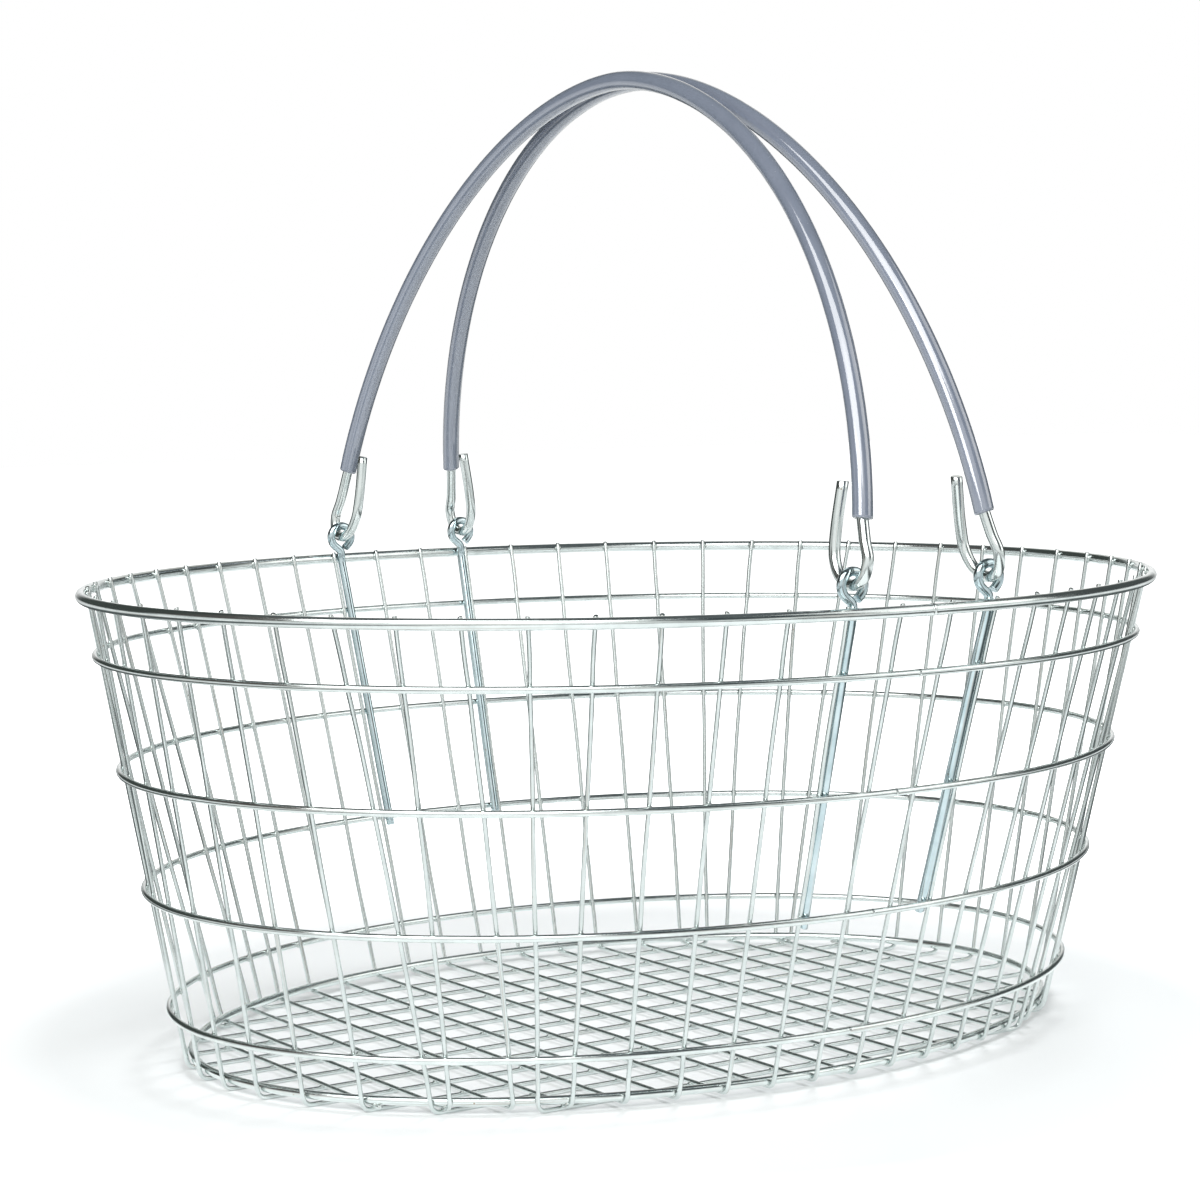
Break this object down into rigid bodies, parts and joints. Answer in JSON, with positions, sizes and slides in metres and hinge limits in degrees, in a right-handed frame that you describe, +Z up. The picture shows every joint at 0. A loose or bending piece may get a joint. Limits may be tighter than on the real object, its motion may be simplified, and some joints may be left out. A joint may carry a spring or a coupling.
{
  "type": "wire shopping basket",
  "caption": "Open oval basket of welded zinc-plated steel wire with flared sides and two folding arched handles in plastic tube grips",
  "frame": {"origin": "on the surface the basket stands on, under the middle of the floor grid", "axes": "+X along the basket, +Y across it towards the far long side, +Z up"},
  "size_m": [0.465, 0.3924, 0.3928],
  "materials": {
    "zinc_wire": "bright zinc plate on drawn steel wire",
    "grip_vinyl": "semi-gloss grey-blue extruded vinyl tube"
  },
  "bodies": {
    "basket": {"rim_hoop": "zinc_wire", "band_hoop_1": "zinc_wire", "band_hoop_2": "zinc_wire", "band_hoop_3": "zinc_wire", "band_hoop_4": "zinc_wire", "base_hoop": "zinc_wire", "cross_wire_1": "zinc_wire", "cross_wire_2": "zinc_wire", "cross_wire_3": "zinc_wire", "cross_wire_4": "zinc_wire", "cross_wire_5": "zinc_wire", "cross_wire_6": "zinc_wire", "cross_wire_7": "zinc_wire", "cross_wire_8": "zinc_wire", "cross_wire_9": "zinc_wire", "cross_wire_10": "zinc_wire", "cross_wire_11": "zinc_wire", "cross_wire_12": "zinc_wire", "cross_wire_13": "zinc_wire", "cross_wire_14": "zinc_wire", "cross_wire_15": "zinc_wire", "cross_wire_16": "zinc_wire", "end_wire_left": "zinc_wire", "end_wire_right": "zinc_wire", "long_wire_1": "zinc_wire", "long_wire_2": "zinc_wire", "long_wire_3": "zinc_wire", "long_wire_4": "zinc_wire", "long_wire_5": "zinc_wire", "long_wire_6": "zinc_wire", "long_wire_7": "zinc_wire", "long_wire_8": "zinc_wire", "long_wire_9": "zinc_wire", "long_wire_10": "zinc_wire", "long_wire_11": "zinc_wire", "long_wire_12": "zinc_wire", "eye_post_1": "zinc_wire", "eye_post_2": "zinc_wire", "eye_post_3": "zinc_wire", "eye_post_4": "zinc_wire"},
    "handle_a": {"handle_wire_a": "zinc_wire", "handle_grip_a": "grip_vinyl"},
    "handle_b": {"handle_wire_b": "zinc_wire", "handle_grip_b": "grip_vinyl"}
  },
  "joints": [
    {"name": "handle_a_fold", "type": "hinge", "parent": "basket", "child": "handle_a", "pos_m": [-0.03192, 0, 0.19525], "axis": [0, -1, 0], "range_deg": [0, 96]},
    {"name": "handle_b_fold", "type": "hinge", "parent": "basket", "child": "handle_b", "pos_m": [0.03192, 0, 0.19525], "axis": [0, 1, 0], "range_deg": [0, 96]}
  ]
}
